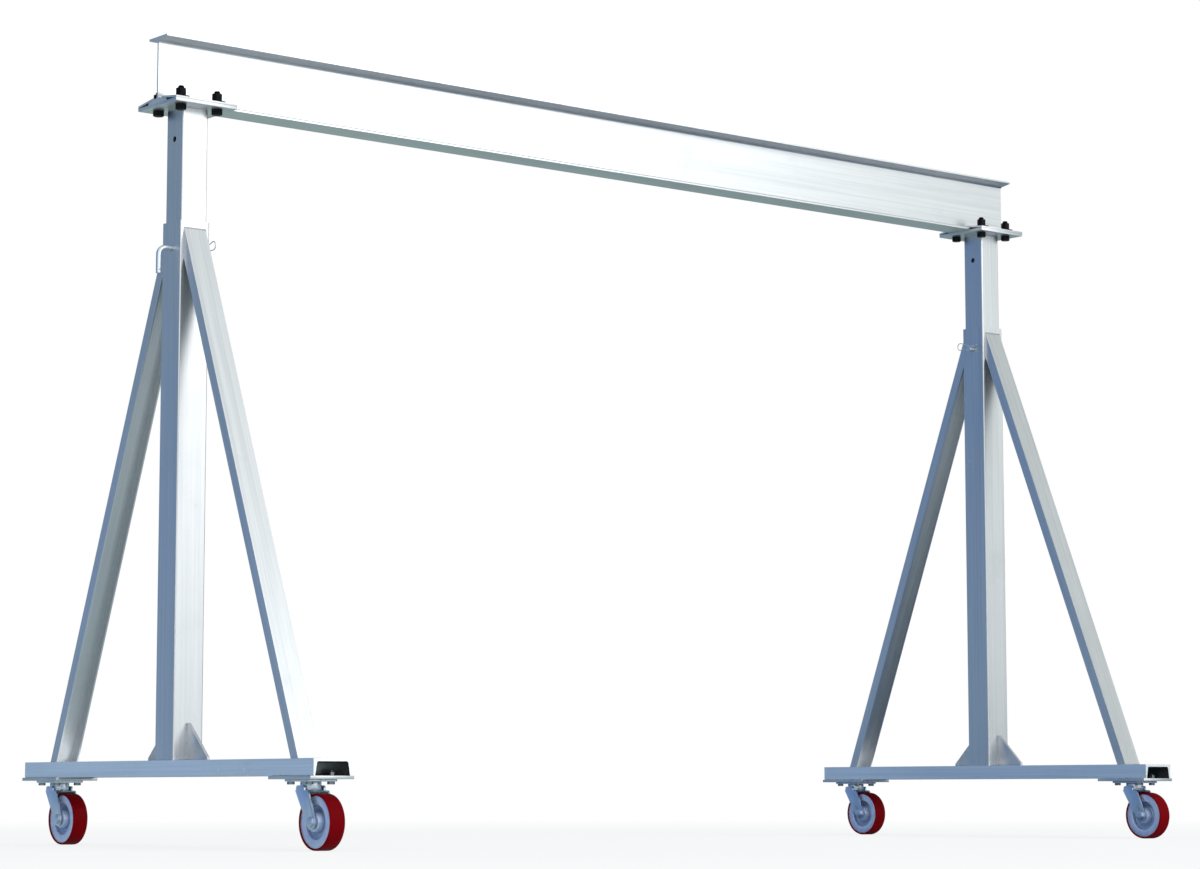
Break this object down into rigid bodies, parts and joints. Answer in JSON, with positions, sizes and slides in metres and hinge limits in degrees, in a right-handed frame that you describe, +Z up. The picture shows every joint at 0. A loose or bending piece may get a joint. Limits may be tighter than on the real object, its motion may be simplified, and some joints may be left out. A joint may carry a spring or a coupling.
{
  "type": "gantry crane",
  "caption": "Rolling gantry crane: an I-beam clamped on two height-adjustable A-frames, each on a channel base with swivel casters.",
  "frame": {"origin": "on the floor, below the middle of the beam", "axes": "+X along the beam from the left frame to the right one, +Y along the base rails towards the rear, +Z up"},
  "size_m": [3.6598, 1.6277, 2.4199],
  "materials": {
    "structure": "mill finish, faint drawing lines along each section",
    "black_steel": "black oxide, satin",
    "zinc_steel": "bright zinc plate",
    "wheel_core": "cast, painted silver grey",
    "tread": "dark red polyurethane, slight sheen"
  },
  "bodies": {
    "crane": {"left_base_rail": "structure", "left_caster_mounts": "structure", "left_lower_mast": "structure", "left_front_brace": "structure", "left_rear_brace": "structure", "left_gussets": "structure", "left_upper_mast": "structure", "left_head_plate": "structure", "left_clamp_bars": "structure", "left_beam_bolts": "black_steel", "left_height_pin": "zinc_steel", "left_pin_clip": "zinc_steel", "left_caster_bolts": "zinc_steel", "left_front_caster_plate": "zinc_steel", "left_rear_caster_plate": "zinc_steel", "right_base_rail": "structure", "right_caster_mounts": "structure", "right_lower_mast": "structure", "right_front_brace": "structure", "right_rear_brace": "structure", "right_gussets": "structure", "right_upper_mast": "structure", "right_head_plate": "structure", "right_clamp_bars": "structure", "right_beam_bolts": "black_steel", "right_height_pin": "zinc_steel", "right_pin_clip": "zinc_steel", "right_caster_bolts": "zinc_steel", "right_front_caster_plate": "zinc_steel", "right_rear_caster_plate": "zinc_steel", "beam": "structure"},
    "left_front_caster": {"left_front_fork": "zinc_steel", "left_front_axle": "zinc_steel"},
    "left_front_wheel": {"left_front_wheel_core": "wheel_core", "left_front_tread": "tread"},
    "left_rear_caster": {"left_rear_fork": "zinc_steel", "left_rear_axle": "zinc_steel"},
    "left_rear_wheel": {"left_rear_wheel_core": "wheel_core", "left_rear_tread": "tread"},
    "right_front_caster": {"right_front_fork": "zinc_steel", "right_front_axle": "zinc_steel"},
    "right_front_wheel": {"right_front_wheel_core": "wheel_core", "right_front_tread": "tread"},
    "right_rear_caster": {"right_rear_fork": "zinc_steel", "right_rear_axle": "zinc_steel"},
    "right_rear_wheel": {"right_rear_wheel_core": "wheel_core", "right_rear_tread": "tread"}
  },
  "joints": [
    {"name": "left_front_swivel", "type": "hinge", "parent": "crane", "child": "left_front_caster", "pos_m": [-1.722, -0.694, 0.1662], "axis": [0, 0, 1], "continuous": true},
    {"name": "left_front_roll", "type": "hinge", "parent": "left_front_caster", "child": "left_front_wheel", "pos_m": [-1.722, -0.749, 0.07875], "axis": [1, 0, 0], "continuous": true},
    {"name": "left_rear_swivel", "type": "hinge", "parent": "crane", "child": "left_rear_caster", "pos_m": [-1.722, 0.694, 0.1662], "axis": [0, 0, 1], "continuous": true},
    {"name": "left_rear_roll", "type": "hinge", "parent": "left_rear_caster", "child": "left_rear_wheel", "pos_m": [-1.722, 0.639, 0.07875], "axis": [1, 0, 0], "continuous": true},
    {"name": "right_front_swivel", "type": "hinge", "parent": "crane", "child": "right_front_caster", "pos_m": [1.722, -0.694, 0.1662], "axis": [0, 0, 1], "continuous": true},
    {"name": "right_front_roll", "type": "hinge", "parent": "right_front_caster", "child": "right_front_wheel", "pos_m": [1.722, -0.749, 0.07875], "axis": [1, 0, 0], "continuous": true},
    {"name": "right_rear_swivel", "type": "hinge", "parent": "crane", "child": "right_rear_caster", "pos_m": [1.722, 0.694, 0.1662], "axis": [0, 0, 1], "continuous": true},
    {"name": "right_rear_roll", "type": "hinge", "parent": "right_rear_caster", "child": "right_rear_wheel", "pos_m": [1.722, 0.639, 0.07875], "axis": [1, 0, 0], "continuous": true}
  ]
}
